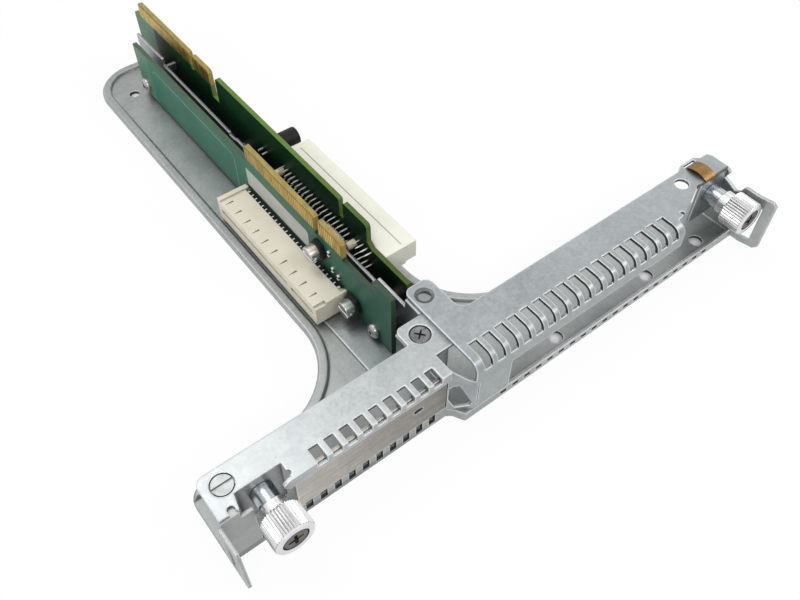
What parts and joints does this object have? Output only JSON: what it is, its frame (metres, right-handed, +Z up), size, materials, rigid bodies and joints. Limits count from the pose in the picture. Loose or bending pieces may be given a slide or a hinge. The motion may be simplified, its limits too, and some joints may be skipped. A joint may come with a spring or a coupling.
{
  "type": "riser card",
  "caption": "T-shaped sheet-metal riser cage with upright keyed boards, cream card-edge sockets, vented slot frames and captive thumbscrews.",
  "frame": {"origin": "on the tray's underside, midway between the two boards, where the bar and stem meet", "axes": "+X along the bar to the slotted right frame, +Y along the stem away from the front, +Z up to the edge fingers"},
  "size_m": [0.185, 0.2094, 0.0285],
  "materials": {
    "zinc_steel": "galvanised sheet, faint spangle",
    "board_green": "dark green solder mask",
    "gold": "gold-plated contacts",
    "cream_plastic": "moulded cream plastic",
    "tin": "tinned contacts and solder",
    "black_plastic": "black",
    "label_white": "paper label, blank",
    "copper": "copper alloy strip",
    "knob_metal": "bright turned metal with knurl",
    "blue_zinc": "blue zinc plate",
    "screw_steel": "nickel-plated screw"
  },
  "bodies": {
    "cage": {"base_tray": "zinc_steel", "left_slot_frame": "zinc_steel", "right_slot_frame": "zinc_steel", "center_wall": "zinc_steel", "left_slot_cover": "zinc_steel", "ground_spring": "copper", "left_riser_board": "board_green", "right_riser_board": "board_green", "left_edge_fingers": "gold", "right_edge_fingers": "gold", "left_connector_housing": "cream_plastic", "right_connector_housing": "cream_plastic", "left_connector_contacts": "tin", "right_connector_contacts": "tin", "filter_capacitor": "black_plastic", "capacitor_leads": "tin", "board_label": "label_white", "left_board_screws": "screw_steel", "board_spacers": "black_plastic", "board_end_screws": "screw_steel", "right_board_screws": "screw_steel", "board_standoffs": "screw_steel", "flange_screw_left": "screw_steel", "flange_screw_center": "screw_steel", "left_thumb_ferrule": "blue_zinc", "right_thumb_ferrule": "blue_zinc"},
    "left_thumb_carrier": {"left_thumb_ring": "screw_steel"},
    "left_thumb": {"left_thumb_knob": "knob_metal", "left_thumb_screw": "screw_steel"},
    "right_thumb_carrier": {"right_thumb_ring": "screw_steel"},
    "right_thumb": {"right_thumb_knob": "knob_metal", "right_thumb_screw": "screw_steel"}
  },
  "joints": [
    {"name": "left_thumb_push", "type": "slide", "parent": "cage", "child": "left_thumb_carrier", "axis": [0, 1, 0], "range_m": [0, 0.0034], "stiffness_N_per_m": 150, "springref_m": -0.002},
    {"name": "left_thumb_turn", "type": "hinge", "parent": "left_thumb_carrier", "child": "left_thumb", "pos_m": [-0.0592, -0.0037, 0.016], "axis": [0, 1, 0], "continuous": true},
    {"name": "right_thumb_push", "type": "slide", "parent": "cage", "child": "right_thumb_carrier", "axis": [0, 1, 0], "range_m": [0, 0.0034], "stiffness_N_per_m": 150, "springref_m": -0.002},
    {"name": "right_thumb_turn", "type": "hinge", "parent": "right_thumb_carrier", "child": "right_thumb", "pos_m": [0.104, -0.0033, 0.016], "axis": [0, 1, 0], "continuous": true}
  ]
}
